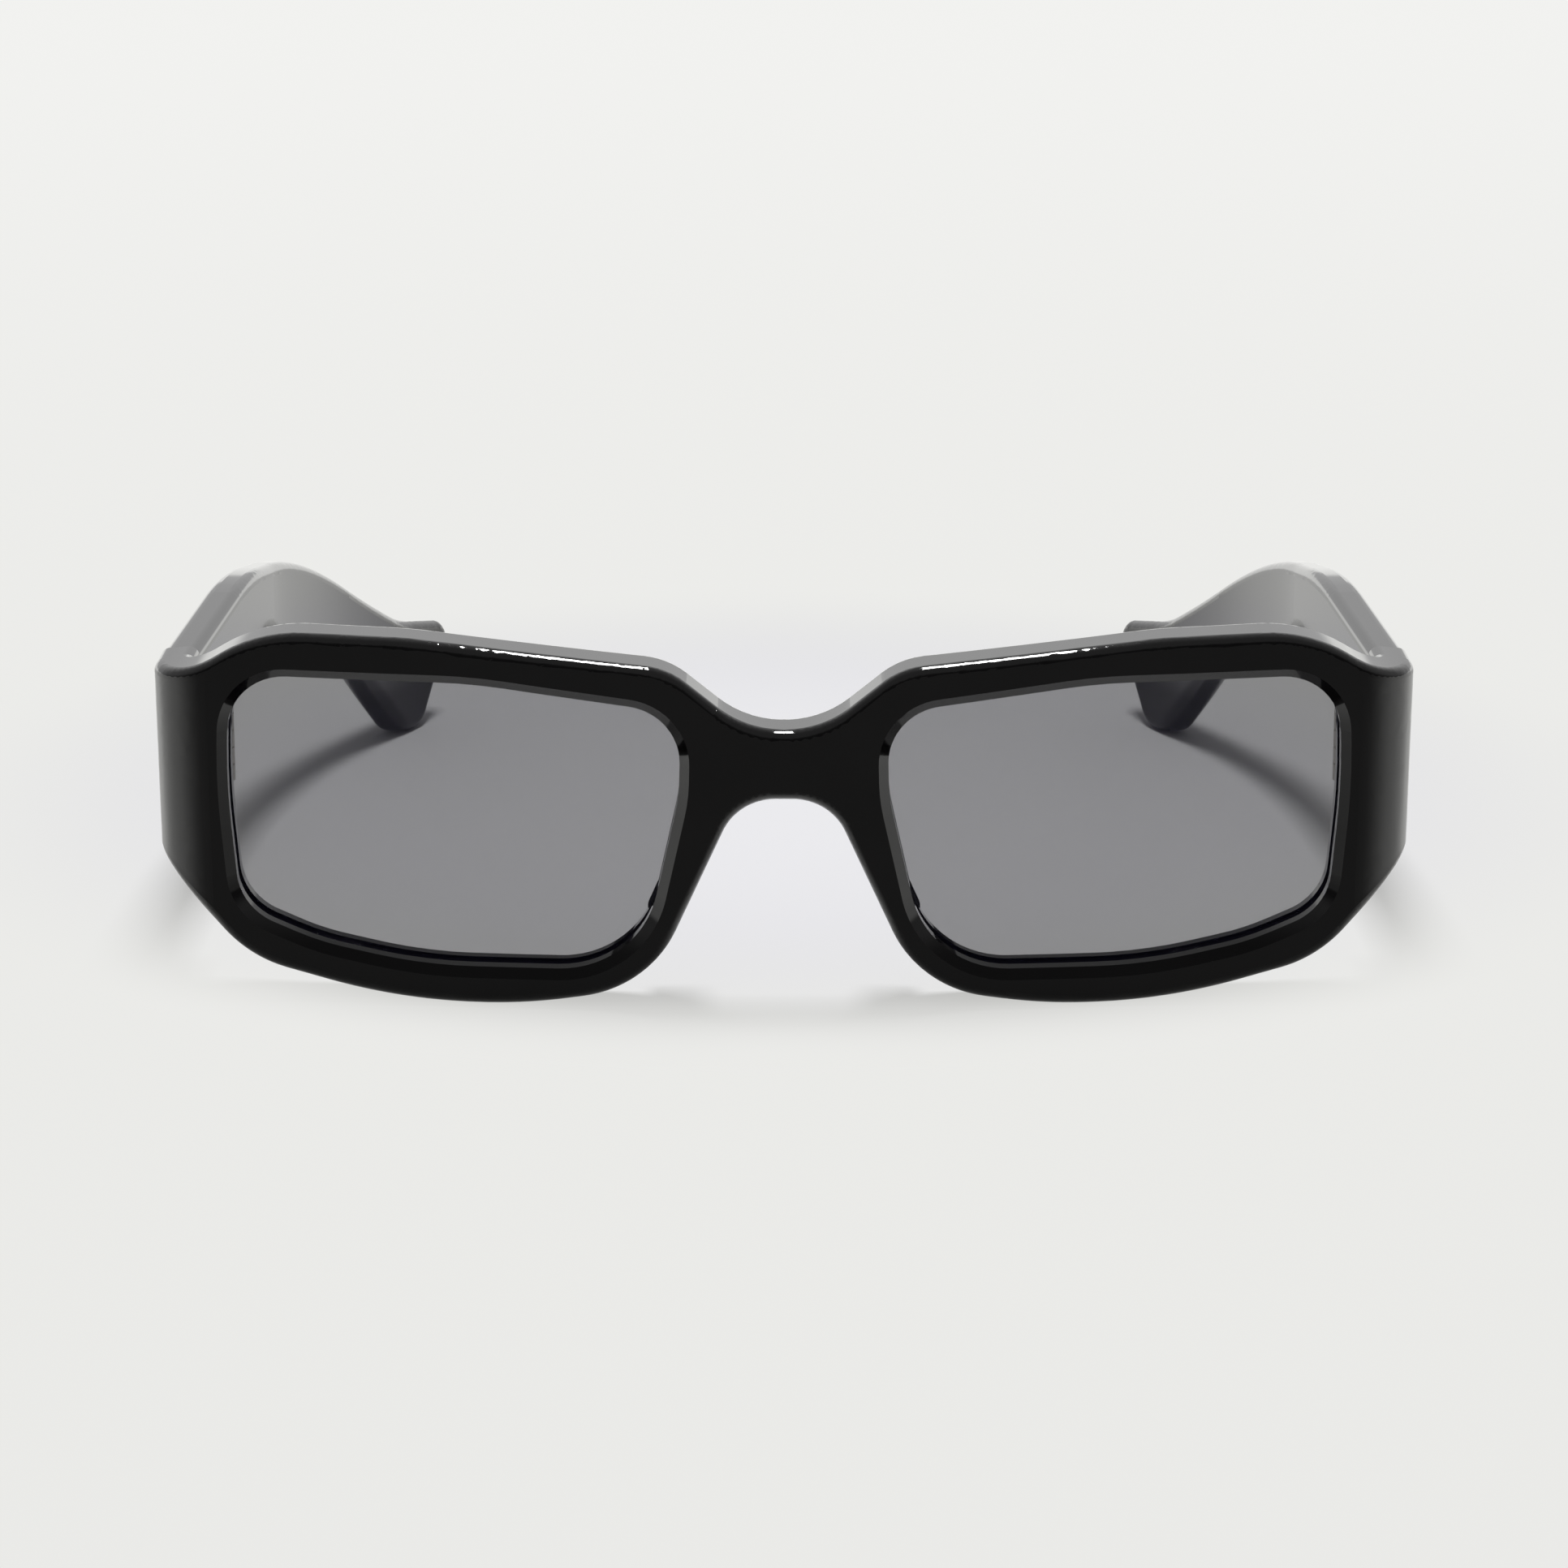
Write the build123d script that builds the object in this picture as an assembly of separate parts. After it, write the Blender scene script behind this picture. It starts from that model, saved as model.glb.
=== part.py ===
from build123d import *
import os
from math import asin, atan2, cos, degrees, hypot, pi, radians, sin, sqrt, tan

# Narrow rectangle sunglasses in block acetate, standing open on a table.
# Millimetres. The front faces -Y, the temples reach back along +Y, +Z is up.
# Left and right are the wearer's, so left is +X.
# While it is built, y is zero at the bridge's front face at table level.

os.makedirs("parts", exist_ok=True)

# Lenses and the bridge between them
lens_width = 52.9
lens_height = 35.15
bridge_width = 21.6
lens_thickness = 2.0
lens_radius = 260.0
lens_set_back = 2.3
lens_edge_bevel = 0.35
groove_depth = 0.7
lens_clearance = 0.05
opening_bevel = 1.1
opening_back_round = 0.6

# Front
front_thickness = 6.8
wrap_radius = 330.0
pantoscopic_tilt = 4.0
brow_rim = 5.25
bottom_rim = 4.3
bridge_drop = 10.3
bridge_height = 8.1
endpiece_width = 7.8
endpiece_height = 21.5
endpiece_drop = 5.6
endpiece_reach = 3.2
endpiece_corner_radius = 8.2
endpiece_inner_radius = 3.0
edge_round = 1.2
sharp_angle = 20.0
overrun = 6.0

# Radii of the front's outline
bridge_radius = 11.5
brow_inner_radius = 9.0
brow_top_radius = 60.0
brow_outer_radius = 18.0
step_radius = 12.0
jaw_radius = 14.0
outer_sill_radius = 70.0
inner_sill_radius = 60.0
nose_foot_radius = 14.0
nose_arch_radius = 6.5

# Temples
seam_gap = 0.12
temple_thickness = 4.5
temple_edge_round = 1.4
temple_reach = 122.1
temple_converge = 3.3
temple_curl_length = 69.1
temple_curl_radius = 185.0

# Hinges
barrel_count = 5
barrel_height = 1.9
barrel_gap = 0.1
barrel_radius = 1.5
barrel_clearance = 0.2
barrel_stand_off = 0.5
axis_behind_seam = 1.7
screw_radius = 0.55
screw_clearance = 0.05
screw_head_radius = 1.15
screw_head_height = 0.6
screw_slot_width = 0.35
screw_slot_depth = 0.3
neck_width = 2.2
tongue_depth = 2.6
leaf_length = 9.5
leaf_thickness = 1.3
leaf_proud = 0.25
leaf_corner = 1.5
web_width = 1.8

# Core wires inside the temples
wire_height = 2.2
wire_thickness = 1.2
wire_bend = 60.0

# Nose pads
pad_length = 13.0
pad_width = 3.6
pad_depth = 3.2
pad_taper = 10.0
pad_round = 0.8
pad_inset = 2.0

# Sizes worked out from the ones above
half_width = bridge_width / 2 + lens_width + endpiece_width
overall_width = 2 * half_width
opening_inner = bridge_width / 2 + groove_depth
opening_width = lens_width - 2 * groove_depth
opening_height = lens_height - 2 * groove_depth
opening_low = bottom_rim
rim_height = bottom_rim + opening_height + brow_rim
bridge_top = rim_height - bridge_drop
nose_arch_top = bridge_top - bridge_height
endpiece_top = rim_height - endpiece_drop
endpiece_bottom = endpiece_top - endpiece_height
temple_inner_x = half_width - temple_thickness
temple_straight = temple_reach - temple_curl_length
rear_radius = wrap_radius - front_thickness
seam_y = wrap_radius - sqrt(rear_radius ** 2 - temple_inner_x ** 2) + endpiece_reach
lean = tan(radians(pantoscopic_tilt))
hinge_height = barrel_count * barrel_height + (barrel_count - 1) * barrel_gap
hinge_low = (endpiece_top + endpiece_bottom - hinge_height) / 2
axis_x = temple_inner_x - barrel_radius - barrel_stand_off
axis_y = seam_y + axis_behind_seam

# Most of a straight side that its two rounded corners may use up
side_use_share = 0.98

# Where an edge is looked at along its length, and how steeply back counts as along a wall
along_shares = (0.1, 0.5, 0.9)
steep_share = 0.9

# Places of the outline's corners, as shares of the sizes they follow:
# across the opening from the nose outwards, up the opening, or across the endpiece
bridge_flat_share = 0.365
brow_start_share = 0.028
brow_drop_share = 0.61
brow_top_share = 0.592
brow_top_drop_share = 0.05
brow_end_share = 0.915
step_share = 0.43
step_rise_share = 0.014
jaw_share = 0.96
outer_sill_share = 0.621
inner_sill_share = 0.35
nose_foot_share = 0.074
nose_foot_rise_share = 0.52
nose_arch_share = 0.443

# Corners of the lens opening: share across, share up, and the corner's radius as a share of its height
opening_shares = [
    (0.988, 1.0, 0.207),
    (0.456, 0.996, 1.78),
    (0.0, 0.904, 0.193),
    (0.005, 0.616, 0.59),
    (0.095, 0.0, 0.341),
    (0.573, 0.0, 1.78),
    (0.804, 0.068, 0.89),
    (0.979, 0.175, 0.193),
    (1.0, 0.613, 2.37),
]

# Corners of a temple's side view: share of its reach, share of its top height, and radius as a share of it
temple_shares = [
    (0.307, 1.021, 2.9),
    (0.613, 0.865, 3.05),
    (0.889, 0.422, 0.74),
    (1.0, 0.345, 0.07),
    (0.929, 0.0, 0.106),
    (0.889, 0.0, 0.16),
    (0.762, 0.366, 0.8),
    (0.614, 0.541, 2.9),
    (0.213, 0.727, 0.8),
]

# Middle line of a core wire's side view: share of the temple's reach, share of its top height
core_shares = [(0.0, 0.716), (0.385, 0.809), (0.663, 0.629), (0.9, 0.2)]

# Middle of a nose pad, from the foot of the nose's side up to its arch
pad_rise_share = 0.527


def rounded_outline(corners):
    """Closed wire through (x, y, radius) corners; a radius gives way where its sides are too short."""
    count = len(corners)
    reach = []
    for index, (x, y, radius) in enumerate(corners):
        before = corners[index - 1]
        after = corners[(index + 1) % count]
        turn = atan2(after[1] - y, after[0] - x) - atan2(y - before[1], x - before[0])
        turn = abs((turn + pi) % (2 * pi) - pi)
        reach.append(radius * tan(turn / 2))
    fits = []
    for index, (x, y, _) in enumerate(corners):
        after = corners[(index + 1) % count]
        side = hypot(after[0] - x, after[1] - y)
        wanted = reach[index] + reach[(index + 1) % count]
        fits.append(min(1, side_use_share * side / wanted) if wanted > 0 else 1)
    radii = [corner[2] * min(fits[index - 1], fits[index]) for index, corner in enumerate(corners)]
    points = [(x, y) for x, y, _ in corners]
    return FilletPolyline(*points, radius=radii, close=True)


def across_opening(share):
    return opening_inner + share * opening_width


def wrap_y(radius, x):
    """Depth of an arc about the wrap's centre, at table level."""
    return wrap_radius - sqrt(radius ** 2 - x ** 2)


def front_outline():
    """The front seen from ahead, left half then its mirror."""
    step_x = across_opening(1) + step_share * (half_width - across_opening(1))
    jaw = (across_opening(jaw_share), bottom_rim)
    diagonal_slope = (endpiece_bottom - jaw[1]) / (half_width - jaw[0])
    half = [
        (bridge_flat_share * opening_inner, bridge_top, bridge_radius),
        (across_opening(brow_start_share), rim_height - brow_drop_share * brow_rim, brow_inner_radius),
        (across_opening(brow_top_share), rim_height - brow_top_drop_share * brow_rim, brow_top_radius),
        (across_opening(brow_end_share), rim_height, brow_outer_radius),
        (step_x, endpiece_top * (1 + step_rise_share), step_radius),
        (half_width + overrun, endpiece_top, 0),
        (half_width + overrun, endpiece_bottom + overrun * diagonal_slope, 0),
        (*jaw, jaw_radius),
        (across_opening(outer_sill_share), 0, outer_sill_radius),
        (across_opening(inner_sill_share), 0, inner_sill_radius),
        (across_opening(nose_foot_share), nose_foot_rise_share * bottom_rim, nose_foot_radius),
        (nose_arch_share * opening_inner, nose_arch_top, nose_arch_radius),
    ]
    mirrored = [(-x, z, radius) for x, z, radius in reversed(half)]
    return half + mirrored


def opening_outline(grow):
    """A lens opening, or the lens's own edge where it is grown by the groove."""
    height = opening_height
    wire = rounded_outline(
        [
            (across_opening(x_share), opening_low + z_share * height, radius_share * height)
            for x_share, z_share, radius_share in opening_shares
        ]
    )
    face = make_face(wire)
    return offset(face, amount=grow) if grow else face


def pushed_back(face):
    """An outline seen from ahead, made a prism through the whole front."""
    start = Plane.XZ.offset(overrun)
    return extrude(start * face, amount=seam_y + 3 * overrun, dir=(0, 1, 0))


def bow(radius, x):
    """Arc about the wrap's centre, from one side of the front to the other."""
    swing = degrees(asin(x / radius))
    return CenterArc((0, wrap_radius), radius, -90 - swing, 2 * swing)


def plan_section():
    """The front seen from above: wrapped bow, rounded corners, endpieces reaching back."""
    back_y = seam_y + 2 * overrun
    outer_front = (half_width, wrap_y(wrap_radius, half_width))
    inner_back = (temple_inner_x, wrap_y(rear_radius, temple_inner_x))
    edges = [
        bow(wrap_radius, half_width),
        Polyline(outer_front, (half_width, back_y), (temple_inner_x, back_y), inner_back),
        bow(rear_radius, temple_inner_x),
        Polyline(
            (-inner_back[0], inner_back[1]),
            (-temple_inner_x, back_y),
            (-half_width, back_y),
            (-outer_front[0], outer_front[1]),
        ),
    ]
    face = make_face(Curve() + edges)
    outer = face.vertices().filter_by_position(Axis.Y, 0, outer_front[1] + overrun / 2)
    outer = [v for v in outer if abs(abs(v.X) - half_width) < overrun / 10]
    face = fillet(outer, endpiece_corner_radius)
    inner = [v for v in face.vertices() if abs(abs(v.X) - temple_inner_x) < overrun / 10 and v.Y < seam_y]
    return fillet(inner, endpiece_inner_radius)


def front_block():
    """The plan section carried up along the lean of the front."""
    rise = rim_height + 2 * overrun
    start = Pos(0, overrun * lean, -overrun) * plan_section()
    return extrude(start, amount=rise * hypot(1, lean), dir=(0, -lean, 1))


def sharp_edges(solid, low_y, high_y):
    """Edges between two faces that meet at an angle, whose middle lies in a span of depth."""
    faces_at = {}
    for face in solid.faces():
        for edge in face.edges():
            faces_at.setdefault(edge, []).append(face)
    found = []
    for edge, faces in faces_at.items():
        middle = edge.position_at(0.5)
        if len(faces) != 2 or not low_y < middle.Y < high_y:
            continue
        turn = faces[0].normal_at(middle).get_angle(faces[1].normal_at(middle))
        if turn > sharp_angle:
            found.append(edge)
    return found


def behind(y):
    """Everything further back than y."""
    size = 2 * overall_width
    return Pos(0, y + size / 2, 0) * Box(size, size, size)


def lens_place():
    """The frame of a lens: its pole on the bow, set back behind the front's face."""
    middle_x = across_opening(0.5)
    middle_z = opening_low + opening_height / 2
    swing = degrees(middle_x / wrap_radius)
    pole_y = wrap_y(wrap_radius, middle_x) - middle_z * lean + lens_set_back
    return Pos(middle_x, pole_y, middle_z) * Rot(0, 0, swing) * Rot(pantoscopic_tilt, 0, 0)


def lens_shell(gap):
    """Ball shell that the lens is cut from, thicker by a gap on both faces."""
    centre = lens_place() * Pos(0, lens_radius, 0)
    return centre * (Sphere(lens_radius + gap) - Sphere(lens_radius - lens_thickness - gap))


def make_lens():
    """The left lens: its outline cut from the shell, edges broken where they sit in the groove."""
    lens = lens_shell(0) & pushed_back(opening_outline(groove_depth))
    return chamfer(sharp_edges(lens, -overrun, seam_y), lens_edge_bevel)


def on_opening(edge, side):
    """Whether an edge runs round the lens opening of one side, and not straight back along its wall."""
    points = [edge.position_at(share) for share in along_shares]
    span = points[-1] - points[0]
    if abs(span.Y) > steep_share * span.length:
        return False
    low_x = opening_inner - groove_depth
    high_x = across_opening(1) + groove_depth
    low_z = opening_low - groove_depth
    high_z = low_z + lens_height
    return all(low_x < side * point.X < high_x and low_z < point.Z < high_z for point in points)


def near_face(edge):
    """Whether an edge lies in the front half of the rim's thickness."""
    point = edge.position_at(0.5)
    face_y = wrap_y(wrap_radius, point.X) - point.Z * lean
    return point.Y - face_y < front_thickness / 2


def cut_opening(frame, side):
    """A lens opening: bevelled in the front's face, rounded behind, with a groove for the lens."""
    opening = pushed_back(opening_outline(0))
    groove = lens_shell(lens_clearance) & pushed_back(opening_outline(groove_depth + lens_clearance))
    if side < 0:
        opening = mirror(opening, about=Plane.YZ)
        groove = mirror(groove, about=Plane.YZ)
    frame -= opening
    frame = chamfer([e for e in frame.edges() if on_opening(e, side) and near_face(e)], opening_bevel)
    frame = fillet([e for e in frame.edges() if on_opening(e, side) and not near_face(e)], opening_back_round)
    return frame - groove


def make_front():
    """The front without its hinges' seats: bow, endpieces, rounded edges and lens openings."""
    frame = front_block() & pushed_back(make_face(rounded_outline(front_outline())))
    frame = fillet(sharp_edges(frame, -overrun, seam_y + overrun), edge_round)
    frame -= behind(seam_y)
    under_y = wrap_y(rear_radius, temple_inner_x) - endpiece_bottom * lean
    under = Box(2 * overall_width, seam_y, endpiece_bottom, align=(Align.CENTER, Align.MIN, Align.MIN))
    frame -= Pos(0, under_y, 0) * under
    for side in (1, -1):
        frame = cut_opening(frame, side)
    return frame


def make_nose_pad(frame):
    """The left nose pad: a tapered slug on the rim's back, in line with the side of the nose."""
    foot = Vector(across_opening(nose_foot_share), 0, nose_foot_rise_share * bottom_rim)
    arch = Vector(nose_arch_share * opening_inner, 0, nose_arch_top)
    rise = (arch - foot).normalized()
    middle = foot + pad_rise_share * (arch - foot) + pad_inset * Vector(rise.Z, 0, -rise.X)
    back_y = wrap_y(rear_radius, middle.X) - middle.Z * lean
    seat = Plane((middle.X, back_y - pad_round, middle.Z), x_dir=rise, z_dir=(0, 1, 0))
    outline = seat * SlotOverall(pad_length, pad_width)
    pad = extrude(outline, amount=pad_depth + pad_round, taper=pad_taper)
    pad = fillet(pad.faces().sort_by(Axis.Y)[-1].edges(), pad_round)
    return pad - frame


def barrel_low(index):
    return hinge_low + index * (barrel_height + barrel_gap)


def upright_rod(radius, low, high):
    """A round rod on the hinge's own axis."""
    return Pos(0, 0, low) * Cylinder(radius, high - low, align=(Align.CENTER, Align.CENTER, Align.MIN))


def hinge_box(low_x, high_x, low_y, high_y):
    """A block as tall as the hinge, in the hinge axis's frame."""
    block = Box(high_x - low_x, high_y - low_y, hinge_height, align=(Align.MIN, Align.MIN, Align.MIN))
    return Pos(low_x, low_y, hinge_low) * block


def barrels(indexes, radius, extra):
    """Barrels of the hinge by their place from below, longer by extra at both ends."""
    rods = [upright_rod(radius, barrel_low(i) - extra, barrel_low(i) + barrel_height + extra) for i in indexes]
    return Part() + rods


def make_front_hinge():
    """The left front leaf: a tongue in the rim's back, a neck, and the second and fourth barrels."""
    rim_y = wrap_y(rear_radius, axis_x) - (hinge_low + hinge_height / 2) * lean
    leaf = hinge_box(-neck_width / 2, neck_width / 2, rim_y - tongue_depth - axis_y, 0)
    leaf -= barrels(range(0, barrel_count, 2), barrel_radius + barrel_clearance, barrel_gap)
    leaf += barrels(range(1, barrel_count, 2), barrel_radius, 0)
    leaf -= upright_rod(screw_radius + screw_clearance, 0, endpiece_top)
    return Pos(axis_x, axis_y, 0) * leaf


def temple_frame():
    """The hinge axis's frame turned in line with the temple, and the temple's inner face in it."""
    place = Pos(axis_x, axis_y, 0) * Rot(0, 0, temple_converge)
    turn = radians(temple_converge)
    outer = (half_width - axis_x) * cos(turn) + (seam_y - axis_y) * sin(turn)
    return place, outer - temple_thickness


def make_temple_hinge():
    """The left temple leaf: a plate let into the temple's inner face, and the other barrels."""
    place, inner_x = temple_frame()
    plate_x = inner_x - leaf_proud
    plate = hinge_box(plate_x, plate_x + leaf_thickness, -leaf_length, leaf_length - barrel_radius)
    plate = fillet(plate.edges().filter_by(Axis.X).sort_by(Axis.Y)[-2:], leaf_corner)
    webs = hinge_box(0, plate_x, -web_width / 2, web_width / 2)
    webs -= barrels(range(1, barrel_count, 2), leaf_length, barrel_gap)
    leaf = plate + webs
    leaf += barrels(range(0, barrel_count, 2), barrel_radius, 0)
    leaf -= upright_rod(screw_radius, 0, endpiece_top)
    return (place * leaf) & behind(seam_y + seam_gap)


def make_screw():
    """The left hinge screw: shank, head on the top barrel, and a driver's slot."""
    top = hinge_low + hinge_height
    screw = upright_rod(screw_radius, hinge_low, top)
    screw += upright_rod(screw_head_radius, top, top + screw_head_height)
    slot = Box(2 * screw_head_radius, screw_slot_width, 2 * screw_slot_depth)
    screw -= Pos(0, 0, top + screw_head_height) * slot
    return Pos(axis_x, axis_y, 0) * screw


def ribbon(near, far):
    """A band of the temple seen from above, between two depths from its outer face."""
    turn = radians(temple_converge)
    bend = Vector(half_width - temple_straight * sin(turn), seam_y + temple_straight * cos(turn))
    centre = bend - temple_curl_radius * Vector(cos(turn), sin(turn))
    end_rise = seam_y + temple_reach + overrun - centre.Y
    end_turn = asin(end_rise / temple_curl_radius)
    arcs = []
    starts = []
    for depth in (near, far):
        radius = temple_curl_radius - depth
        starts.append(Vector(half_width, seam_y) - depth * Vector(cos(turn), sin(turn)))
        arcs.append(CenterArc(centre, radius, degrees(turn), degrees(end_turn - turn)))
    edges = arcs + [Line(start, arc @ 0) for start, arc in zip(starts, arcs)]
    edges += [Line(*starts), Line(arcs[0] @ 1, arcs[1] @ 1)]
    return make_face(Curve() + edges)


def side_prism(corners):
    """A side view, (y, z, radius) corners, carried across the whole temple."""
    face = Plane.YZ * make_face(rounded_outline(corners))
    return extrude(face, amount=half_width + overrun)


def make_core_wire():
    """The left core wire: a flat band down the middle of the temple, open at the hinge end."""
    middle = [(seam_y + share * temple_reach, rise * endpiece_top) for share, rise in core_shares]
    upper = [(y, z + wire_height / 2, wire_bend) for y, z in middle]
    lower = [(y, z - wire_height / 2, wire_bend) for y, z in reversed(middle)]
    ends = (0, len(middle) - 1)
    corners = []
    for row in (upper, lower):
        corners += [(y, z, 0) if index in ends else (y, z, r) for index, (y, z, r) in enumerate(row)]
    edge = (temple_thickness - wire_thickness) / 2
    band = extrude(ribbon(edge, edge + wire_thickness), amount=endpiece_top)
    return (band & side_prism(corners)) & behind(seam_y + seam_gap)


def make_temple():
    """The left temple: its plan band and its side view in one, edges rounded behind the seam."""
    start_y = seam_y + seam_gap
    corners = [(start_y, endpiece_top, 0)]
    for share, rise, radius in temple_shares:
        corners.append((seam_y + share * temple_reach, rise * endpiece_top, radius * endpiece_top))
    corners.append((start_y, endpiece_bottom, 0))
    band = extrude(ribbon(0, temple_thickness), amount=2 * endpiece_top)
    temple = band & side_prism(corners)
    return fillet(sharp_edges(temple, start_y + temple_edge_round, 2 * temple_reach), temple_edge_round)


front = make_front()
front_hinge = make_front_hinge()
temple_hinge = make_temple_hinge()
screw = make_screw()
core_wire = make_core_wire()
nose_pad = make_nose_pad(front)
temple = make_temple() - temple_hinge - core_wire
front = front - front_hinge - mirror(front_hinge, about=Plane.YZ)

left_parts = {
    "lens": make_lens(),
    "nose_pad": nose_pad,
    "front_hinge": front_hinge,
    "temple_hinge": temple_hinge,
    "hinge_screw": screw,
    "core_wire": core_wire,
    "temple": temple,
}
nodes = {"front_frame": front}
for name, part in left_parts.items():
    nodes["left_" + name] = part
    nodes["right_" + name] = mirror(part, about=Plane.YZ)

# The origin is on the table under the middle of the whole pair
low_y = min(node.bounding_box().min.Y for node in nodes.values())
high_y = max(node.bounding_box().max.Y for node in nodes.values())
place = Pos(0, -(low_y + high_y) / 2, 0)
for name, node in nodes.items():
    export_step(place * node, "parts/" + name + ".step")
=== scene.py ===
import math

import bmesh
import bpy
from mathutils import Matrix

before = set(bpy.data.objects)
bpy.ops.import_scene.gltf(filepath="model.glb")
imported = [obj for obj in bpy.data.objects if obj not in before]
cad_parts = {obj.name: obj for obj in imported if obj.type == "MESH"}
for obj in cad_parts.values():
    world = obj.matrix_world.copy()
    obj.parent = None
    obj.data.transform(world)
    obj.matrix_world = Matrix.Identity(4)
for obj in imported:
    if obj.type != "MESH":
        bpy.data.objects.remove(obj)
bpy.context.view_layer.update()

# Narrow rectangle sunglasses in black block acetate, open on a white table.
# Metres. The front faces -Y, +Z is up, and the wearer's left is +X.

MM = 0.001

# Camera, worked out from the photograph: it looks along +Y and down by its elevation
CAMERA_ELEVATION = 15
CAMERA_DISTANCE = 545 * MM
CAMERA_AIM = (0, -67.49 * MM, 26.43 * MM)
CAMERA_CLIP = (0.01, 50)
SENSOR_WIDTH = 36
FOCAL_LENGTH = 111.86

# Lamp: overhead and facing straight down, narrow from side to side and long from front to back
LAMP_PLACE = (0, 5 * MM, 390 * MM)
LAMP_SIZE = (70 * MM, 160 * MM)
LAMP_RADIANCE = 35.5

# Studio: its strength all round, and what is added behind the glasses
STUDIO_STRENGTH = 0.27
STUDIO_BEHIND = 0.26

# Floor: lit within the first distance from its centre, and plain background past the second
FLOOR_HALF = 20
FLOOR_LIT = (0.765, 0.763, 0.785)
FLOOR_CENTRE = (0, 30 * MM, 0)
FLOOR_BLEND = (58 * MM, 120 * MM)

# Background: its near and far tones, and the places along Y between which they meet
BACKGROUND_NEAR = (0.825, 0.825, 0.805)
BACKGROUND_FAR = (0.885, 0.885, 0.868)
BACKGROUND_DEPTH = (-0.25, 1)

# Patterns in the finishes: their scales per metre, and how deep they reach
CLOUD_SCALE = 90
WAVE_SCALE = 110
WAVE_DEPTH = 0.02 * MM
HAZE_SCALE = 900
SWIRL_SCALE = 2600
SWIRL_STRETCH = (1, 1, 9)
TINT_SCALE = 25
MARK_SCALE = 1500
MARK_DEPTH = 0.02 * MM
SPOT_SCALE = 600

# Acetate: its two blacks, its roughness, the coat on its upper edges and tops (painted sheen)
# and on its lower sill (cut back there as painted shade), and the heights between which the sill
# ends
ACETATE_DEEP = (0.0028, 0.0026, 0.0028)
ACETATE_PALE = (0.0042, 0.0038, 0.004)
ACETATE_ROUGHNESS = 0.06
PAINTED_SHEEN_COAT = 0.8
PAINTED_SILL_SHADE_COAT = 0.1
SILL_HEIGHTS = (6 * MM, 11 * MM)

# Lens: its two tints, and how much each face hides at a lower and an upper height
LENS_DEEP = (0.014, 0.013, 0.026)
LENS_PALE = (0.017, 0.016, 0.03)
LENS_HEIGHTS = (4 * MM, 38 * MM)
LENS_HIDES = (0.44, 0.462)

# Metals: the share of the colour that the marks keep
MARK_SHADE = 0.72


class Socket:
    """An output of a node, which can be used in sums like a number."""

    def __init__(self, tree, output):
        self.tree = tree
        self.output = output

    def math(self, operation, *values):
        return add_node(self.tree, "Math", operation=operation, inputs=dict(enumerate(values)))

    def __add__(self, other):
        return self.math("ADD", self, other)

    def __radd__(self, other):
        return self.math("ADD", other, self)

    def __mul__(self, other):
        return self.math("MULTIPLY", self, other)

    def __rmul__(self, other):
        return self.math("MULTIPLY", other, self)

    def along(self, axis):
        """The part of this vector along X, Y or Z."""
        return add_node(self.tree, "SeparateXYZ", output=axis, inputs={"Vector": self})

    def ramp(self, low, high, to_low=0, to_high=1):
        """Smoothly from one value to another while this goes from low to high."""
        inputs = {"Value": self, "From Min": low, "From Max": high}
        inputs.update({"To Min": to_low, "To Max": to_high})
        return add_node(self.tree, "MapRange", interpolation_type="SMOOTHSTEP", inputs=inputs)

    def mix(self, first, second):
        """Between two colours by this factor."""
        inputs = {"Factor": self, "A": first, "B": second}
        return add_node(self.tree, "Mix", data_type="RGBA", output="Result", inputs=inputs)


def pick(sockets, name):
    """The enabled socket of a node with that name, or the socket at that index."""
    if isinstance(name, int):
        return sockets[name]
    return next(s for s in sockets if s.name == name and s.enabled)


def add_node(tree, kind, output=0, inputs=None, **settings):
    """Any shader node, with its settings and inputs, as the socket of one of its outputs."""
    node = tree.nodes.new("ShaderNode" + kind)
    for name, value in settings.items():
        setattr(node, name, value)
    for name, value in (inputs or {}).items():
        socket = pick(node.inputs, name)
        if isinstance(value, Socket):
            tree.links.new(value.output, socket)
        elif socket.type == "RGBA":
            socket.default_value = (*value, 1)
        else:
            socket.default_value = value
    return Socket(tree, pick(node.outputs, output))


def empty_tree(holder):
    """The node tree of a material or a world, with nothing in it."""
    holder.use_nodes = True
    holder.node_tree.nodes.clear()
    return holder.node_tree


def end_tree(tree, kind, shader):
    """Sends a shader to the output of a material's or a world's tree."""
    output = tree.nodes.new("ShaderNodeOutput" + kind)
    tree.links.new(shader.output, output.inputs["Surface"])


def finish_material(material, inputs):
    """Ends a material in one Principled shader."""
    tree = material.node_tree
    end_tree(tree, "Material", add_node(tree, "BsdfPrincipled", inputs=inputs))
    return material


def place_of(tree, stretch=(1, 1, 1)):
    """Position on the piece in its own frame, so that a pattern turns with it."""
    point = add_node(tree, "TexCoord", output="Object")
    return add_node(tree, "Mapping", inputs={"Vector": point, "Scale": stretch})


def noise(tree, place, scale, detail=2, roughness=0.5):
    inputs = {"Vector": place, "Scale": scale, "Detail": detail, "Roughness": roughness}
    return add_node(tree, "TexNoise", inputs=inputs)


def bump(tree, height, distance, strength):
    inputs = {"Height": height, "Distance": distance, "Strength": strength}
    return add_node(tree, "Bump", inputs=inputs)


def sum_of_rays(tree, *kinds):
    """1 where the surface is seen by one of these kinds of ray."""
    return sum(add_node(tree, "LightPath", output=kind) for kind in kinds)


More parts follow.
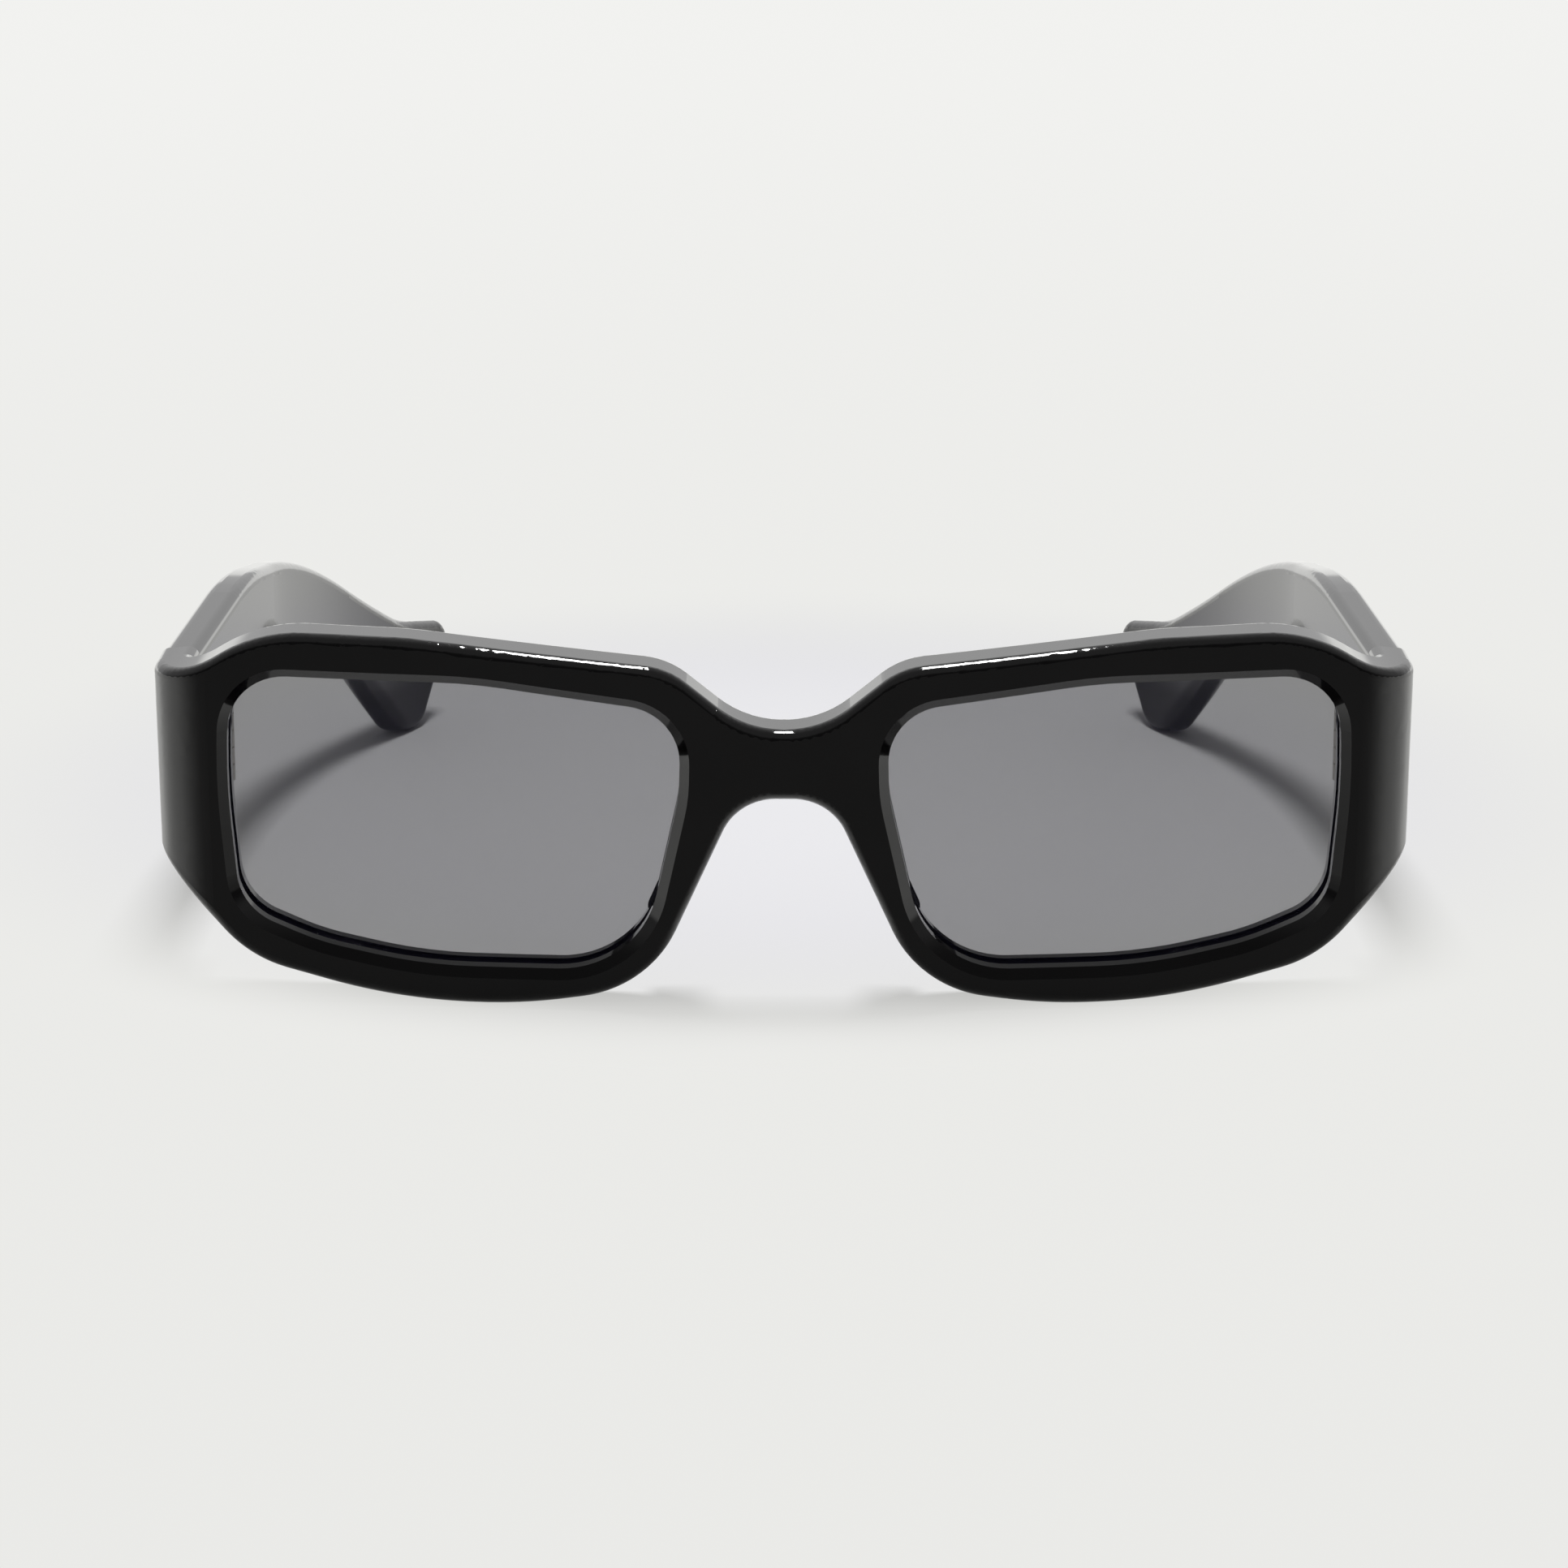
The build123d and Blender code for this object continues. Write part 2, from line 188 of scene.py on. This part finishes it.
def black_acetate():
    """Polished black block acetate: nearly even, with the faint waves and haze of polishing."""
    material = bpy.data.materials.new("black_acetate")
    tree = empty_tree(material)
    place = place_of(tree)
    cloud = noise(tree, place, CLOUD_SCALE, 3)
    waves = noise(tree, place, WAVE_SCALE, 1)
    haze = noise(tree, place, HAZE_SCALE, 4, 0.6)
    swirls = noise(tree, place_of(tree, SWIRL_STRETCH), SWIRL_SCALE, 2, 0.7)
    colour = cloud.ramp(0.3, 0.7).mix(ACETATE_DEEP, ACETATE_PALE)
    roughness = ACETATE_ROUGHNESS + haze.ramp(0.4, 0.8, 0, 0.03) + swirls.ramp(0.62, 0.8, 0, 0.03)
    # Painted sheen: the coat is raised on upper edges and upward-facing tops, so they shine
    # brighter than the upright faces
    painted_top_sheen = add_node(tree, "TexCoord", output="Normal").along("Z").ramp(0.25, 0.42, 0, PAINTED_SHEEN_COAT)
    # Gloss rises at grazing angles, and falls a little where a face is nearly edge-on
    grazing = add_node(tree, "LayerWeight", output="Facing", inputs={"Blend": 0.5})
    sheen = grazing.ramp(0.1, 0.35) * grazing.ramp(0.68, 0.85, 1, 0.4)
    # Painted shade: low down on the lower sill the coat is cut to a fraction, so the sill stays
    # dark
    painted_sill_shade = place.along("Z").ramp(*SILL_HEIGHTS, PAINTED_SILL_SHADE_COAT, 1)
    return finish_material(material, {
        "Base Color": colour,
        "Roughness": roughness,
        "Normal": bump(tree, waves, WAVE_DEPTH, 0.1),
        "IOR": 1.48,
        "Specular IOR Level": 0.11,
        "Coat Weight": (painted_top_sheen + sheen) * painted_sill_shade,
        "Coat Roughness": 0.03,
        "Coat IOR": 1.5,
    })


def smoke_lens():
    """Smoke lens: lets about three tenths of the light through, a little violet."""
    material = bpy.data.materials.new("smoke_lens")
    tree = empty_tree(material)
    place = place_of(tree)
    tint = noise(tree, place, TINT_SCALE, 1)
    return finish_material(material, {
        "Base Color": tint.ramp(0.3, 0.7).mix(LENS_DEEP, LENS_PALE),
        "Alpha": place.along("Z").ramp(*LENS_HEIGHTS, *LENS_HIDES),
        "Roughness": 0.015,
        "IOR": 1.5,
        "Specular IOR Level": 0.15,
    })


def brushed_metal(name, colour, roughness, stretch):
    """Metal with fine marks, which lie closer together along one axis."""
    material = bpy.data.materials.new(name)
    tree = empty_tree(material)
    marks = noise(tree, place_of(tree, stretch), MARK_SCALE, 3, 0.6)
    spots = noise(tree, place_of(tree), SPOT_SCALE, 2)
    darker = tuple(MARK_SHADE * c for c in colour)
    return finish_material(material, {
        "Base Color": marks.ramp(0.35, 0.7).mix(darker, colour),
        "Metallic": 1,
        "Roughness": roughness + marks.ramp(0.3, 0.7, 0, 0.12) + spots.ramp(0.5, 0.8, 0, 0.06),
        "Normal": bump(tree, marks, MARK_DEPTH, 0.4),
    })


def assign(material, *nodes):
    for name in nodes:
        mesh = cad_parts[name].data
        mesh.materials.clear()
        mesh.materials.append(material)


def both(*names):
    """The nodes of these names on the wearer's left and right."""
    return [side + "_" + name for name in names for side in ("left", "right")]


def pale_floor():
    """Matt and lit near the glasses, so that it keeps their shadows, and plain farther off."""
    material = bpy.data.materials.new("floor")
    tree = empty_tree(material)
    point = add_node(tree, "TexCoord", output="Object")
    inputs = {0: point, 1: FLOOR_CENTRE}
    reach = add_node(tree, "VectorMath", operation="DISTANCE", output="Value", inputs=inputs)
    seen = sum_of_rays(tree, "Is Camera Ray", "Is Glossy Ray", "Is Transmission Ray")
    tone = point.along("Y").ramp(*BACKGROUND_DEPTH).mix(BACKGROUND_NEAR, BACKGROUND_FAR)
    lit = add_node(tree, "BsdfDiffuse", inputs={"Color": FLOOR_LIT})
    plain = add_node(tree, "Emission", inputs={"Color": tone, "Strength": 1})
    factor = reach.ramp(*FLOOR_BLEND) * seen
    end_tree(tree, "Material", add_node(tree, "MixShader", inputs={0: factor, 1: lit, 2: plain}))
    return material


def make_floor():
    """A wide plain floor, level with the lowest points of the rims and temple tips."""
    form = bmesh.new()
    bmesh.ops.create_grid(form, x_segments=1, y_segments=1, size=FLOOR_HALF)
    mesh = bpy.data.meshes.new("floor")
    form.to_mesh(mesh)
    form.free()
    mesh.materials.append(pale_floor())
    floor = bpy.data.objects.new("floor", mesh)
    bpy.context.scene.collection.objects.link(floor)


def make_studio():
    """Surroundings: dim all round, brighter behind, and the plain background where it shows."""
    world = bpy.data.worlds.new("studio")
    bpy.context.scene.world = world
    tree = empty_tree(world)
    direction = add_node(tree, "TexCoord", output="Generated")
    backwards = direction.along("Y")
    upwards = direction.along("Z")
    strength = STUDIO_STRENGTH + backwards.ramp(0.2, 0.8) * upwards.ramp(0.85, 0.5) * STUDIO_BEHIND
    light = add_node(tree, "Background", inputs={"Color": (1, 1, 1), "Strength": strength})
    plain = add_node(tree, "Background", inputs={"Color": BACKGROUND_FAR, "Strength": 1})
    # Gloss and glass see the background only near the horizon, and the studio above it
    horizon = upwards.ramp(0.1, 0.04)
    mirrored = sum_of_rays(tree, "Is Glossy Ray", "Is Transmission Ray") * horizon
    seen = sum_of_rays(tree, "Is Camera Ray") + mirrored
    end_tree(tree, "World", add_node(tree, "MixShader", inputs={0: seen, 1: light, 2: plain}))


def make_lamp():
    """A rectangular lamp, which faces straight down unturned, by the brightness of its face."""
    lamp = bpy.data.lights.new("lamp", "AREA")
    lamp.shape = "RECTANGLE"
    lamp.size, lamp.size_y = LAMP_SIZE
    lamp.energy = LAMP_RADIANCE * math.pi * math.prod(LAMP_SIZE)
    light = bpy.data.objects.new("lamp", lamp)
    light.location = LAMP_PLACE
    bpy.context.scene.collection.objects.link(light)


def make_camera():
    """The photograph's camera, turned down towards its aim."""
    camera = bpy.data.objects.new("camera", bpy.data.cameras.new("camera"))
    bpy.context.scene.collection.objects.link(camera)
    fall = math.radians(CAMERA_ELEVATION)
    back = CAMERA_DISTANCE * math.cos(fall)
    up = CAMERA_DISTANCE * math.sin(fall)
    camera.location = (CAMERA_AIM[0], CAMERA_AIM[1] - back, CAMERA_AIM[2] + up)
    camera.rotation_euler = (math.pi / 2 - fall, 0, 0)
    camera.data.sensor_width = SENSOR_WIDTH
    camera.data.lens = FOCAL_LENGTH
    camera.data.clip_start, camera.data.clip_end = CAMERA_CLIP
    bpy.context.scene.camera = camera


hinge_metal = brushed_metal("hinge_metal", (0.62, 0.6, 0.56), 0.28, (1, 1, 8))
screw_steel = brushed_metal("screw_steel", (0.56, 0.56, 0.57), 0.3, (1, 6, 1))
core_wire_metal = brushed_metal("core_wire_metal", (0.6, 0.58, 0.54), 0.32, (1, 6, 1))

assign(black_acetate(), "front_frame", *both("temple", "nose_pad"))
assign(smoke_lens(), *both("lens"))
assign(hinge_metal, *both("front_hinge", "temple_hinge"))
assign(screw_steel, *both("hinge_screw"))
assign(core_wire_metal, *both("core_wire"))

make_floor()
make_studio()
make_lamp()
make_camera()

bpy.context.scene.view_settings.view_transform = "Standard"
